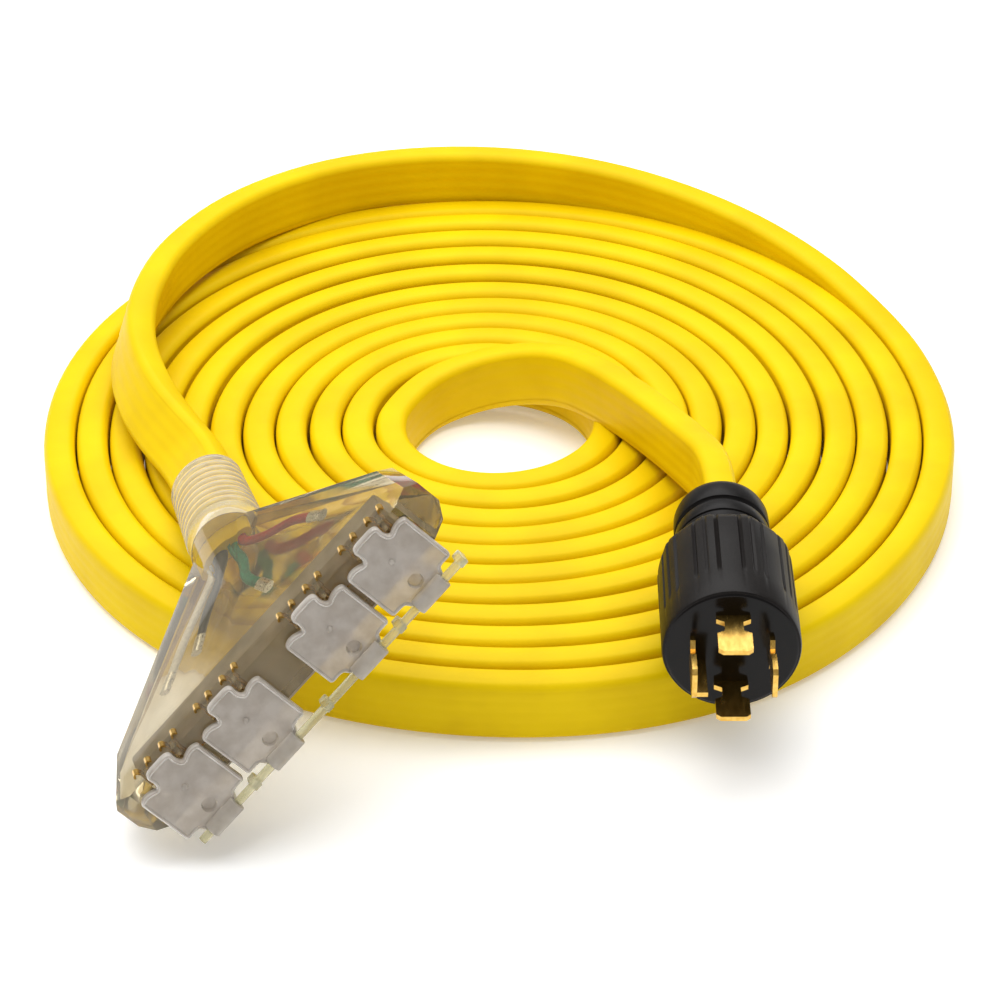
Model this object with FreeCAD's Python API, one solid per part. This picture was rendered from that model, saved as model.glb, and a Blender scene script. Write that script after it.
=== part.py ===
import FreeCAD, Part
import math
import os

# Flat four-core generator and shore power cord: a coil of yellow flat cable,
# a round four-blade locking plug on its inner end and a clear fan-shaped
# connector with four capped household outlets on its outer end.
# Millimetres, +Z up, floor at z = 0, origin under the middle of the connector.

V = FreeCAD.Vector
X_AXIS, Y_AXIS = V(1, 0, 0), V(0, 1, 0)

# ---- driving dimensions: cable -------------------------------------------
CABLE_WIDTH = 24.0            # across the four cores; the coil stands on edge
CABLE_THICK = 11.0            # through one core
CORE_COUNT = 4
CORE_PITCH = 4.7              # cores lie side by side
CORE_DIAMETER = 4.2           # insulated core

# ---- coil: one flat spiral, counter-clockwise and outwards ----------------
COIL_X, COIL_Y = 66.2, 157.1
COIL_PITCH = 12.45            # one turn to the next
COIL_LEFT_RADIUS = 38.2       # centreline where the inner turn crosses -X
COIL_BULGE = 7.0              # inner turns sit slacker on the far side
COIL_SPREAD = 9.5             # outer turns spread at the far side
COIL_SPREAD_DEG = 98.0
COIL_FRONT_SPREAD = 5.0       # and the last ones at the near right
COIL_FRONT_SPREAD_DEG = -62.0
COIL_START_DEG = 150.0        # where the inner tail leaves
COIL_END_DEG = 3976.0         # eleven turns on, where the outer tail leaves

# ---- tails: free route points; their ends come from what they meet ---------
TAIL_DIAMETER = CABLE_THICK
COIL_EXIT_RUN = 13.0          # straight out of the coil's inner end
COIL_ENTRY_RUN = 34.0         # straight out of its outer end
RELIEF_RUN = 22.0             # straight into the connector's strain relief
NECK_RUN = 23.0               # straight into the plug's neck
PLUG_TAIL = [
    (51.3, 196.4, 14.0), (67.1, 198.6, 18.0), (83.2, 193.1, 23.0),
    (96.4, 180.8, 28.5), (107.3, 164.0, 32.5), (118.0, 145.5, 35.8),
    (129.5, 125.5, 37.4), (139.5, 103.0, 40.5),
]
CONNECTOR_TAIL = [
    (196.5, 274.5, 19.0), (160.8, 308.5, 24.6), (113.1, 332.2, 30.0),
    (59.8, 340.6, 32.8), (6.6, 330.2, 34.0), (-34.5, 295.4, 37.4),
    (-60.0, 252.2, 39.0), (-70.1, 212.2, 39.6), (-71.5, 180.0, 39.0),
    (-64.0, 150.0, 37.4), (-53.5, 127.5, 35.8),
]

# ---- fan connector, in its own frame: x forward, y along the outlets ------
CONNECTOR_AT = V(-23.2, 28.0, 48.64)
CONNECTOR_TURN = FreeCAD.Rotation(-76.85, -9.35, 44.27)   # yaw, pitch, roll
FACE_X = 97.4                 # outlet face
FRONT_CORNER_X = 88.3         # where the end chamfers start
HALF_WIDTH = 74.0
END_CHAMFER = 9.1
FAN_LENGTH = 64.5
FAN_HALF_WIDTH = 68.7
NECK_HALF_WIDTH = 14.7
WEB_HALF = 9.0                # fan web, half thickness
WEB_CHAMFER = 4.0
BLOCK_TOP, BLOCK_BOTTOM = 16.0, -17.0
STEP_X = 84.9                 # the outlet block rises here
BLOCK_REAR_X = 66.0
STEP_HALF_WIDTH = 61.3
SHOULDER_Z = 1.4              # where the end bevel meets the side
WALL = 3.2
FACE_WALL = 4.0
RELIEF_LENGTH = 59.0
RELIEF_RIB_RADIUS = 14.7

# outlets (NEMA 5-20R pattern)
OUTLET_Y = (-50.5, -20.5, 20.5, 50.5)
BLADE_LINE_Z = 1.5
BLADE_HALF_SPACING = 6.35
GROUND_DROP = 11.9
SLOT_HEIGHT = 8.0
SLOT_WIDTH = 1.9
T_SLOT_REACH = 6.4
GROUND_RADIUS = 2.65
CONTACT_REAR_X = 74.0
SHEET = 0.8                   # brass sheet thickness

# outlet covers
COVER_GAP = 0.4
COVER_THICK = 2.4
COVER_HALF_WIDTH = 14.0
COVER_BOTTOM_Z, COVER_SHOULDER_Z, COVER_TOP_Z = -15.5, 4.0, 10.8
LOBE_HALF_WIDTH = 5.6
TAB_HALF_WIDTH = 6.5
DIMPLE_RADIUS, DIMPLE_DEPTH, DIMPLE_Z = 2.7, 1.2, -13.6
HINGE_RADIUS = 3.0
ROD_RADIUS, BORE_RADIUS = 1.5, 1.8
HINGE_X = FACE_X + COVER_GAP + HINGE_RADIUS
HINGE_Z = -19.5

# ---- locking plug (NEMA L14-30P pattern), axis along its own x ------------
PLUG_AT = V(147.0, 50.9, 48.6)
PLUG_YAW = -90.0
PLUG_LENGTH = 83.4
PLUG_RADIUS = 23.6
PLUG_NECK_RADIUS = 16.8
PLUG_NECK_LENGTH = 27.0
SHOULDER_LENGTH = 8.0
GRIP_GROOVES = 20
FACE_THICK = 9.0
BLADE_CIRCLE = 13.3
BLADE_LENGTH = 20.8
BLADE_WIDTH = 11.5
BLADE_THICK = 1.7
BLADE_ROOT = 16.0             # length held inside the face disc and body


def export(shape, node):
    shape.exportStep("parts/" + node + ".step")
    box = shape.BoundBox
    print("%-22s solids %d valid %s  z %.1f..%.1f  volume %.0f" % (
        node, len(shape.Solids), shape.isValid(), box.ZMin, box.ZMax, shape.Volume))


def box(x0, x1, y0, y1, z0, z1):
    return Part.makeBox(x1 - x0, y1 - y0, z1 - z0, V(x0, y0, z0))


def prism(points, direction):
    """Solid swept along direction from a closed flat outline."""
    wire = Part.makePolygon([V(*p) for p in points] + [V(*points[0])])
    return Part.Face(wire).extrude(direction)


def cylinder_x(radius, x0, x1, y=0.0, z=0.0):
    return Part.makeCylinder(radius, x1 - x0, V(x0, y, z), X_AXIS)


def cylinder_y(radius, y0, y1, x, z):
    return Part.makeCylinder(radius, y1 - y0, V(x, y0, z), Y_AXIS)


def slot_section(width, height, x0, x1, z=0.0):
    """Flat cable section, round ended, wide along y and swept along x."""
    radius = height / 2
    flat = width / 2 - radius
    bar = box(x0, x1, -flat, flat, z - radius, z + radius)
    return bar.fuse([cylinder_x(radius, x0, x1, y, z) for y in (-flat, flat)]).removeSplitter()


# ---- free cable -----------------------------------------------------------

def route_wire(points, label):
    """Straight runs joined by tangent arcs, as large as the runs allow."""
    corners = [V(*p) for p in points]
    edges, cursor, radii = [], corners[0], []
    for before, corner, after in zip(corners, corners[1:], corners[2:]):
        back, ahead = (before - corner), (after - corner)
        shorter = min(back.Length, ahead.Length)
        back.normalize()
        ahead.normalize()
        half_turn = (math.pi - back.getAngle(ahead)) / 2
        reach = 0.45 * shorter
        radius = reach / math.tan(half_turn)
        start, end = corner + back * reach, corner + ahead * reach
        towards = (back + ahead).normalize()
        middle = corner + towards * (radius / math.cos(half_turn) - radius)
        edges.append(Part.LineSegment(cursor, start).toShape())
        edges.append(Part.Arc(start, middle, end).toShape())
        cursor = end
        radii.append(radius)
    edges.append(Part.LineSegment(cursor, corners[-1]).toShape())
    if label:
        print(label, "arc radii", " ".join("%.0f" % r for r in radii))
    return Part.Wire(edges)


def route_tube(points, diameter, label=""):
    wire = route_wire(points, label)
    start = V(*points[0])
    ahead = V(*points[1]) - start
    profile = Part.Wire(Part.makeCircle(diameter / 2, start, ahead))
    tube = wire.makePipeShell([profile], True, False)
    if tube.Volume < 0:
        tube.reverse()
    if label:
        section = math.pi * diameter ** 2 / 4
        print(label, "length %.0f, volume over section times length %.4f" % (
            wire.Length, tube.Volume / (section * wire.Length)))
    return tube


def coil_radius(angle):
    """Centreline radius of the spiral at an angle in degrees."""
    along = (angle - COIL_START_DEG) / (COIL_END_DEG - COIL_START_DEG)
    slack = max(0.0, math.sin(math.radians(angle))) ** 2 * (1 - along)
    outer = min(1.0, max(0.0, 2 * along - 0.7))
    far = max(0.0, math.cos(math.radians(angle - COIL_SPREAD_DEG))) ** 1.3
    last = min(1.0, max(0.0, (along - 0.6) / 0.35))
    near = max(0.0, math.cos(math.radians(angle - COIL_FRONT_SPREAD_DEG))) ** 8
    return (COIL_LEFT_RADIUS + COIL_PITCH * (angle - 180) / 360 + COIL_BULGE * slack
            + COIL_SPREAD * outer * outer * (3 - 2 * outer) * far
            + COIL_FRONT_SPREAD * last * near)


def coil_point(angle, offset):
    radius = coil_radius(angle) + offset
    turn = math.radians(angle)
    return V(COIL_X + radius * math.cos(turn), COIL_Y + radius * math.sin(turn), 0)


def coil_edge(first, last, offset):
    """One full turn of the coil's rim, as eight arcs through the spiral."""
    step = (last - first) / 8
    edges = []
    for piece in range(8):
        angles = [first + step * (piece + part / 2) for part in range(3)]
        edges.append(Part.Arc(*[coil_point(a, offset) for a in angles]).toShape())
    return edges


def coil():
    """Outer shape of the wound turns: a flat ring with a spiral rim."""
    half = CABLE_THICK / 2
    inner = coil_edge(COIL_START_DEG, COIL_START_DEG + 360, -half)
    outer = coil_edge(COIL_END_DEG - 360, COIL_END_DEG, half)
    rims = []
    for edges in (outer, inner):
        ends = edges[-1].Vertexes[-1].Point, edges[0].Vertexes[0].Point
        rims.append(Part.Face(Part.Wire(edges + [Part.LineSegment(*ends).toShape()])))
    ring = rims[0].cut(rims[1])
    return ring.Faces[0].extrude(V(0, 0, CABLE_WIDTH))


# ---- fan connector --------------------------------------------------------

def in_place(shape):
    turned = shape.copy()
    place = FreeCAD.Placement(CONNECTOR_AT, CONNECTOR_TURN)
    turned.Placement = place.multiply(shape.Placement)
    return turned


def both_sides(points):
    """Closed outline from the +y half of a plan."""
    return points + [(x, -y) for x, y in reversed(points)]


def fan_web():
    plan = both_sides([(0, NECK_HALF_WIDTH), (FAN_LENGTH, FAN_HALF_WIDTH),
                       (FRONT_CORNER_X, HALF_WIDTH), (FACE_X, HALF_WIDTH - END_CHAMFER)])
    web = prism([(x, y, -WEB_HALF) for x, y in plan], V(0, 0, 2 * WEB_HALF))
    rims = [e for e in web.Edges if abs(abs(e.CenterOfMass.z) - WEB_HALF) < 0.01
            and 1 < e.CenterOfMass.x < STEP_X and abs(e.CenterOfMass.y) > NECK_HALF_WIDTH]
    return web.makeChamfer(WEB_CHAMFER, rims)


def outlet_block():
    plan = both_sides([(BLOCK_REAR_X, FAN_HALF_WIDTH), (FRONT_CORNER_X, HALF_WIDTH),
                       (FACE_X, HALF_WIDTH - END_CHAMFER)])
    block = prism([(x, y, BLOCK_BOTTOM) for x, y in plan], V(0, 0, BLOCK_TOP - BLOCK_BOTTOM))
    step = box(BLOCK_REAR_X - 1, STEP_X, -HALF_WIDTH, HALF_WIDTH, WEB_HALF, BLOCK_TOP + 1)
    bevels = []
    for side in (-1, 1):
        outline = [(BLOCK_REAR_X - 1, side * y, z) for y, z in (
            (STEP_HALF_WIDTH, BLOCK_TOP), (STEP_HALF_WIDTH, BLOCK_TOP + 5),
            (HALF_WIDTH + 5, BLOCK_TOP + 5), (HALF_WIDTH + 5, SHOULDER_Z),
            (HALF_WIDTH, SHOULDER_Z))]
        bevels.append(prism(outline, V(FACE_X - BLOCK_REAR_X + 2, 0, 0)))
    return block.cut([step] + bevels)


def outlet_openings(y):
    """Blade slots and earth hole of one outlet, through the face wall."""
    x0, x1 = FACE_X - FACE_WALL - 1, FACE_X + 1
    low, high = BLADE_LINE_Z - SLOT_HEIGHT / 2, BLADE_LINE_Z + SLOT_HEIGHT / 2
    hot, neutral = y + BLADE_HALF_SPACING, y - BLADE_HALF_SPACING
    half = SLOT_WIDTH / 2
    earth_z = BLADE_LINE_Z - GROUND_DROP
    earth = cylinder_x(GROUND_RADIUS, x0, x1, y, earth_z)
    flat_top = box(x0, x1, y - 4, y + 4, earth_z + 0.45 * GROUND_RADIUS, earth_z + 4)
    return [
        box(x0, x1, hot - half, hot + half, low, high),
        box(x0, x1, neutral - half, neutral + half, low, high),
        box(x0, x1, neutral - T_SLOT_REACH / 2, neutral + half,
            BLADE_LINE_Z - half, BLADE_LINE_Z + half),
        earth.cut(flat_top),
    ]


def inner_spaces():
    """Room inside the moulding for the jacket end, cores and contacts."""
    room = WEB_HALF - WALL
    cores = prism([(x, y, -room) for x, y in both_sides(
        [(9, 11.5), (FAN_LENGTH, FAN_HALF_WIDTH - 12)])], V(0, 0, 2 * room))
    contacts = box(FAN_LENGTH - 0.5, FACE_X - FACE_WALL, -62, 62, -room, room)
    lower = box(BLOCK_REAR_X + WALL, FACE_X - FACE_WALL, -60, 60, BLOCK_BOTTOM + WALL, 0)
    upper = box(STEP_X + 2.6, FACE_X - FACE_WALL, -60, 60, 0, BLOCK_TOP - WALL)
    jacket = slot_section(CABLE_WIDTH, CABLE_THICK, -1, 10)
    return [cores, contacts, lower, upper, jacket]


def stud_places():
    return [(86.0, y) for y in (-52, -18, 18, 52)]


def outlet_body():
    neck = Part.makeCone(NECK_HALF_WIDTH, WEB_HALF, 40, V(0, 0, 0), X_AXIS)
    body = fan_web().fuse([outlet_block(), neck])
    openings = [o for y in OUTLET_Y for o in outlet_openings(y)]
    stud_holes = [Part.makeCylinder(1.7, 2.6, V(x, y, BLOCK_BOTTOM)) for x, y in stud_places()]
    return body.cut(inner_spaces() + openings + stud_holes).removeSplitter()


def contact_clip(x_front, y):
    """Two spring leaves either side of a blade slot."""
    low, high = BLADE_LINE_Z - SLOT_HEIGHT / 2, BLADE_LINE_Z + SLOT_HEIGHT / 2
    near, far = 0.9, 0.9 + SHEET
    leaves = [box(CONTACT_REAR_X, x_front, y + s * near, y + s * far, low, high) if s > 0
              else box(CONTACT_REAR_X, x_front, y - far, y - near, low, high) for s in (-1, 1)]
    rear = box(CONTACT_REAR_X, CONTACT_REAR_X + SHEET, y - far, y + far, low, high)
    tab = box(x_front - SHEET, x_front, y - far, y + far, high - 0.2, high + 1.2)
    return [rear, tab] + leaves


def contact_bus(x_front, ys, feed_from):
    """A brass strip along the clips' tops, and the feed from its crimp."""
    high = BLADE_LINE_Z + SLOT_HEIGHT / 2
    strip = box(x_front - SHEET, x_front, min(ys) - 2, max(ys) + 2, high + 0.9, high + 6.5)
    (x0, y0), clip_y = feed_from, min(ys, key=lambda y: abs(y - feed_from[1]))
    feed = prism([(x0, y0 - 1.5, -0.4), (CONTACT_REAR_X + 0.4, clip_y - 1.5, -0.4),
                  (CONTACT_REAR_X + 0.4, clip_y + 1.5, -0.4), (x0, y0 + 1.5, -0.4)], V(0, 0, SHEET))
    clips = [piece for y in ys for piece in contact_clip(x_front, y)]
    return strip.fuse(clips + [feed]).removeSplitter()


def ground_bus(feed_from):
    z = BLADE_LINE_Z - GROUND_DROP
    x0 = CONTACT_REAR_X - 2
    strip = box(x0, x0 + SHEET, OUTLET_Y[0] - 3, OUTLET_Y[-1] + 3, z - 3, z + 3)
    sleeves, bores = [], []
    for y in OUTLET_Y:
        sleeves.append(cylinder_x(GROUND_RADIUS + 0.7, x0 + 0.4, FACE_X - FACE_WALL - 0.3, y, z))
        bores.append(cylinder_x(GROUND_RADIUS, x0 + SHEET, FACE_X, y, z))
    fx, fy, fz = feed_from
    feed = prism([(fx, fy - 0.4, fz - 1), (x0 - 2.4, fy - 0.4, -5.4), (x0 + 0.4, fy - 0.4, z - 1),
                  (x0 + 0.4, fy - 0.4, z + 2.5), (x0 - 1.4, fy - 0.4, -3.8),
                  (fx, fy - 0.4, fz + 1)], V(0, SHEET, 0))
    return strip.fuse(sleeves + [feed]).cut(bores).removeSplitter()


CORE_ROUTES = {
    "red": [(5, 7.05, 0), (14, 7.05, 0), (24, 15, 0.5), (33, 27.5, 0.5), (41.5, 33.6, 0)],
    "green": [(5, 2.35, 0), (14, 2.35, 0), (25, 4, 0), (36, 3, -0.5), (46, 6.5, -1.6)],
    "black": [(5, -2.35, 0), (14, -2.35, 0), (22, -6.5, 0), (31, -15, 0), (42, -21, 0)],
    "white": [(5, -7.05, 0), (14, -7.05, 0), (22, -14.5, 0), (33, -26, 0), (46, -36.5, 0)],
}
CRIMP_LENGTH = 8.0
CRIMP_RADIUS = 2.5


def crimp_end(route):
    """Far end of the crimp that carries on from a core's last run."""
    last, before = V(*route[-1]), V(*route[-2])
    return last + (last - before).normalize() * CRIMP_LENGTH


def core_crimps(routes):
    barrels = []
    for route in routes:
        start, end = V(*route[-1]), crimp_end(route)
        barrels.append(Part.makeCylinder(CRIMP_RADIUS, CRIMP_LENGTH, start, end - start))
    return Part.makeCompound(barrels)


def contact_tray():
    """Insulating tray between the live clips and the earth sleeves."""
    top = BLADE_LINE_Z - SLOT_HEIGHT / 2
    plate = box(CONTACT_REAR_X, FACE_X - FACE_WALL, -59, 59, top - 1.2, top)
    ribs = [box(CONTACT_REAR_X, STEP_X, y - 0.6, y + 0.6, top - 0.2, 5.0)
            for y in (-35.5, 0, 35.5)]
    return plate.fuse(ribs).removeSplitter()


def relief_rib_places():
    pitch = (RELIEF_LENGTH - 22) / 7
    return [-RELIEF_LENGTH + index * pitch for index in range(8)]


def strain_relief():
    """Ribbed clear sleeve on the cable, ending in a collar at the moulding."""
    length = RELIEF_LENGTH
    sleeve = Part.makeCone(13.2, NECK_HALF_WIDTH - 1, length, V(-length, 0, 0), X_AXIS)
    ribs = [cylinder_x(RELIEF_RIB_RADIUS, x, x + 2.6) for x in relief_rib_places()]
    collar = cylinder_x(NECK_HALF_WIDTH, -14, 0)
    sleeve = sleeve.fuse(ribs + [collar])
    return sleeve.cut(slot_section(CABLE_WIDTH, CABLE_THICK, -length - 1, 1)).removeSplitter()


def jacket_end():
    """Cable jacket through the relief, stripped back inside the moulding."""
    jacket = slot_section(CABLE_WIDTH, CABLE_THICK, -RELIEF_LENGTH, 9.4)
    bores = []
    for index in range(CORE_COUNT):
        y = (index - (CORE_COUNT - 1) / 2) * CORE_PITCH
        bores.append(cylinder_x(CORE_DIAMETER / 2, 5, 12, y))
    return jacket.cut(bores)


def cover_hinge_bar():
    """Hinge rod, its arms and the bar clipped under the outlet block."""
    low, high = BLOCK_BOTTOM - 2.4, BLOCK_BOTTOM
    bar = box(80, 91, -67, 67, low, high)
    holes = [Part.makeCylinder(1.7, 6, V(x, y, low - 2)) for x, y in stud_places()]
    rod = cylinder_y(ROD_RADIUS, -67, 67, HINGE_X, HINGE_Z)
    arms = []
    for y in (-65, -35.5, 0, 35.5, 65):
        arms.append(box(90, HINGE_X - 1, y - 2, y + 2, HINGE_Z - 1.4, high))
        arms.append(cylinder_y(2.5, y - 2, y + 2, HINGE_X, HINGE_Z))
    return bar.cut(holes).fuse([rod] + arms).removeSplitter()


def hinge_bar_studs():
    head_z = BLOCK_BOTTOM - 2.4
    studs = []
    for x, y in stud_places():
        head = Part.makeCylinder(3.2, 1.8, V(x, y, head_z - 1.8))
        shank = Part.makeCylinder(1.6, 4.6, V(x, y, head_z - 0.2))
        studs.append(head.fuse(shank).removeSplitter())
    return Part.makeCompound(studs)


def outlet_cover(y):
    """Scalloped cap with a top lobe, a thumb dimple and a hinge knuckle."""
    x0 = FACE_X + COVER_GAP
    x1 = x0 + COVER_THICK
    plate = box(x0, x1, y - COVER_HALF_WIDTH, y + COVER_HALF_WIDTH,
                COVER_BOTTOM_Z, COVER_SHOULDER_Z)
    corners = [e for e in plate.Edges if abs(e.tangentAt(0).x) > 0.9]
    plate = plate.makeFillet(2.4, corners)
    lobe_z = COVER_TOP_Z - LOBE_HALF_WIDTH
    lobe = cylinder_x(LOBE_HALF_WIDTH, x0, x1, y, lobe_z)
    stem = box(x0, x1, y - LOBE_HALF_WIDTH, y + LOBE_HALF_WIDTH, -4, lobe_z)
    shoulders = [cylinder_x(3.6, x0, x1, y + s * (COVER_HALF_WIDTH - 3.6), COVER_SHOULDER_Z - 1.2)
                 for s in (-1, 1)]
    tab = box(x0, x1, y - TAB_HALF_WIDTH, y + TAB_HALF_WIDTH, HINGE_Z, -10)
    knuckle = cylinder_y(HINGE_RADIUS, y - TAB_HALF_WIDTH, y + TAB_HALF_WIDTH, HINGE_X, HINGE_Z)
    bore = cylinder_y(BORE_RADIUS, y - 20, y + 20, HINGE_X, HINGE_Z)
    dimple = cylinder_x(DIMPLE_RADIUS, x1 - DIMPLE_DEPTH, x1 + 1, y, DIMPLE_Z)
    cover = plate.fuse([lobe, stem, tab, knuckle] + shoulders)
    return cover.cut([bore, dimple]).removeSplitter()


# ---- locking plug ---------------------------------------------------------

def plug_in_place(shape):
    turned = shape.copy()
    place = FreeCAD.Placement(PLUG_AT, FreeCAD.Rotation(PLUG_YAW, 0, 0))
    turned.Placement = place.multiply(shape.Placement)
    return turned


def upright_slot(x0, x1):
    """The flat cable's section standing on edge, as it enters the plug."""
    return turned_about_x(slot_section(CABLE_WIDTH, CABLE_THICK, x0, x1), 90)


def plug_neck():
    """Rubber neck with three rings, gripping the jacket."""
    base = cylinder_x(PLUG_NECK_RADIUS - 1.6, 0, PLUG_NECK_LENGTH)
    rings = [cylinder_x(PLUG_NECK_RADIUS, x, x + 5.2) for x in (0, 7.6, 15.2)]
    neck = base.fuse(rings)
    return neck.cut(upright_slot(-1, PLUG_NECK_LENGTH + 1))


def plug_body():
    """Hollow grip: coned shoulder, fluted barrel and a smooth front band."""
    barrel_x = PLUG_NECK_LENGTH + SHOULDER_LENGTH
    front = PLUG_LENGTH - 2.0
    shoulder = Part.makeCone(PLUG_NECK_RADIUS + 2.7, PLUG_RADIUS, SHOULDER_LENGTH,
                             V(PLUG_NECK_LENGTH, 0, 0), X_AXIS)
    barrel = cylinder_x(PLUG_RADIUS, barrel_x, front)
    flutes = []
    for index in range(GRIP_GROOVES):
        turn = 2 * math.pi * index / GRIP_GROOVES
        reach = PLUG_RADIUS + 0.3
        y, z = reach * math.sin(turn), reach * math.cos(turn)
        flutes.append(cylinder_x(1.2, PLUG_NECK_LENGTH + 5, front - 13, y, z))
    room = cylinder_x(PLUG_RADIUS - 4.0, barrel_x, front + 1)
    rear_room = Part.makeCone(12.6, PLUG_RADIUS - 4.0, SHOULDER_LENGTH - 3,
                              V(PLUG_NECK_LENGTH + 3, 0, 0), X_AXIS)
    entry = upright_slot(PLUG_NECK_LENGTH - 1, PLUG_NECK_LENGTH + 4)
    return shoulder.fuse(barrel).cut(flutes + [room, rear_room, entry]).removeSplitter()


def blade_turns():
    """Blade names and their places round the face, in degrees from the top."""
    return [("hot_x", 0.0), ("ground", 90.0), ("hot_y", 180.0), ("neutral", 270.0)]


def turned_about_x(shape, degrees):
    turned = shape.copy()
    turned.rotate(V(0, 0, 0), X_AXIS, degrees)
    return turned


def blade(ground):
    """Twist-lock blade: a root, a notched waist and a hooked tip."""
    face = PLUG_LENGTH
    half, hook = BLADE_WIDTH / 2, 2.6
    outline = [(face - BLADE_ROOT, -half + 2), (face - BLADE_ROOT, half - 2), (face - 1, half - 2),
               (face - 1, half), (face + 2.5, half), (face + 4, half - hook),
               (face + 9, half - hook), (face + 10.5, half), (face + BLADE_LENGTH - 1.5, half),
               (face + BLADE_LENGTH, half - 1.5), (face + BLADE_LENGTH, -half + 1.5),
               (face + BLADE_LENGTH - 1.5, -half)]
    if not ground:
        outline += [(face + 10.5, -half), (face + 9, -half + hook), (face + 4, -half + hook),
                    (face + 2.5, -half)]
    outline += [(face - 1, -half), (face - 1, -half + 2)]
    z0 = BLADE_CIRCLE - BLADE_THICK / 2
    strip = prism([(x, y, z0) for x, y in outline], V(0, 0, BLADE_THICK))
    if ground:
        foot = box(face - 1, face + BLADE_LENGTH - 2, -half, -half + BLADE_THICK,
                   BLADE_CIRCLE - 4.6, BLADE_CIRCLE)
        strip = strip.fuse(foot).removeSplitter()
    return strip


def plug_face(blades):
    """Insulating disc that carries the blades, with a raised rim."""
    disc = cylinder_x(PLUG_RADIUS - 4.2, PLUG_LENGTH - FACE_THICK, PLUG_LENGTH - 1.5)
    rim = cylinder_x(PLUG_RADIUS - 0.2, PLUG_LENGTH - 1.9, PLUG_LENGTH)
    recess = cylinder_x(PLUG_RADIUS - 2.2, PLUG_LENGTH - 0.8, PLUG_LENGTH + 1)
    return disc.fuse(rim).cut([recess] + blades).removeSplitter()


def plug_core_route(index, turn):
    """A core from the jacket end out to the crimp behind its blade."""
    z0 = ((CORE_COUNT - 1) / 2 - index) * CORE_PITCH
    angle = math.radians(turn)
    y, z = -BLADE_CIRCLE * math.sin(angle), BLADE_CIRCLE * math.cos(angle)
    end_x = PLUG_LENGTH - BLADE_ROOT - CRIMP_LENGTH
    return [(23, 0, z0), (31, 0, z0), (41, 0.6 * y, z0 + 0.6 * (z - z0)), (51, y, z),
            (end_x, y, z)]


def plug_jacket_end():
    jacket = slot_section(CABLE_WIDTH, CABLE_THICK, 0, 27)
    bores = [cylinder_x(CORE_DIAMETER / 2, 23, 30, (i - (CORE_COUNT - 1) / 2) * CORE_PITCH)
             for i in range(CORE_COUNT)]
    return turned_about_x(jacket.cut(bores), 90)


# ---- export ---------------------------------------------------------------

def tail_ends():
    """Both ends of each tail, leaving its neighbour square to the joint."""
    up = V(0, 0, CABLE_WIDTH / 2)
    ends = []
    for angle, run in ((COIL_START_DEG, -COIL_EXIT_RUN), (COIL_END_DEG, COIL_ENTRY_RUN)):
        turn = math.radians(angle)
        tangent = V(-math.sin(turn), math.cos(turn), 0)
        start = coil_point(angle, 0) + up
        ends.append([start, start + tangent * run])
    places = (PLUG_AT, FreeCAD.Rotation(PLUG_YAW, 0, 0), 0, NECK_RUN), (
        CONNECTOR_AT, CONNECTOR_TURN, RELIEF_LENGTH, RELIEF_RUN)
    for at, rotation, back, run in places:
        ends.append([at - rotation.multVec(X_AXIS) * (back + run),
                     at - rotation.multVec(X_AXIS) * back])
    return ends


def export_cable():
    inner, outer, plug, connector = tail_ends()
    middles = [[V(*p) for p in route] for route in (PLUG_TAIL, CONNECTOR_TAIL)]
    export(coil(), "cable_coil")
    export(route_tube(inner + middles[0] + plug, TAIL_DIAMETER, "plug tail"),
           "cable_tail_plug")
    export(route_tube(outer + middles[1] + connector, TAIL_DIAMETER, "connector tail"),
           "cable_tail_connector")


def export_connector():
    crimps = {name: crimp_end(route) for name, route in CORE_ROUTES.items()}
    hot_front, neutral_front = FACE_X - FACE_WALL, STEP_X + 4.6
    hots = [y + BLADE_HALF_SPACING for y in OUTLET_Y]
    neutrals = [y - BLADE_HALF_SPACING for y in OUTLET_Y]
    feeds = {name: (end.x, end.y) for name, end in crimps.items()}
    barrels = core_crimps(CORE_ROUTES.values())
    pieces = {
        "outlet_body": outlet_body(),
        "contact_tray": contact_tray(),
        "hot_bus_y": contact_bus(hot_front, hots[:2], feeds["black"]).cut(barrels),
        "hot_bus_x": contact_bus(hot_front, hots[2:], feeds["red"]).cut(barrels),
        "neutral_bus": contact_bus(neutral_front, neutrals, feeds["white"]).cut(barrels),
        "ground_bus": ground_bus(tuple(crimps["green"])).cut(barrels),
        "core_crimps": barrels,
        "jacket_end": jacket_end(),
        "strain_relief": strain_relief(),
        "cover_hinge_bar": cover_hinge_bar(),
        "hinge_bar_studs": hinge_bar_studs(),
    }
    for name, route in CORE_ROUTES.items():
        pieces["core_" + name] = route_tube(route, CORE_DIAMETER)
    for number, y in enumerate(reversed(OUTLET_Y), start=1):
        pieces["outlet_cover_%d" % number] = outlet_cover(y)
    for node, shape in pieces.items():
        export(in_place(shape), node)


def export_plug():
    blades = {}
    for name, turn in blade_turns():
        blades[name] = turned_about_x(blade(name == "ground"), turn)
    pieces = {"plug_blade_" + name: shape for name, shape in blades.items()}
    pieces["plug_face"] = plug_face(list(blades.values()))
    pieces["plug_body"] = plug_body()
    pieces["plug_neck"] = plug_neck()
    pieces["plug_jacket_end"] = plug_jacket_end()
    order = [("black", 0.0), ("green", 90.0), ("white", 270.0), ("red", 180.0)]
    routes = [plug_core_route(index, turn) for index, (name, turn) in enumerate(order)]
    for (name, turn), route in zip(order, routes):
        pieces["plug_core_" + name] = route_tube(route, CORE_DIAMETER)
    pieces["plug_crimps"] = core_crimps(routes)
    for node, shape in pieces.items():
        export(plug_in_place(shape), node)


os.makedirs("parts", exist_ok=True)
export_cable()
export_connector()
export_plug()
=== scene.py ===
import math

import bmesh
import bpy
from mathutils import Euler, Matrix, Vector


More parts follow.
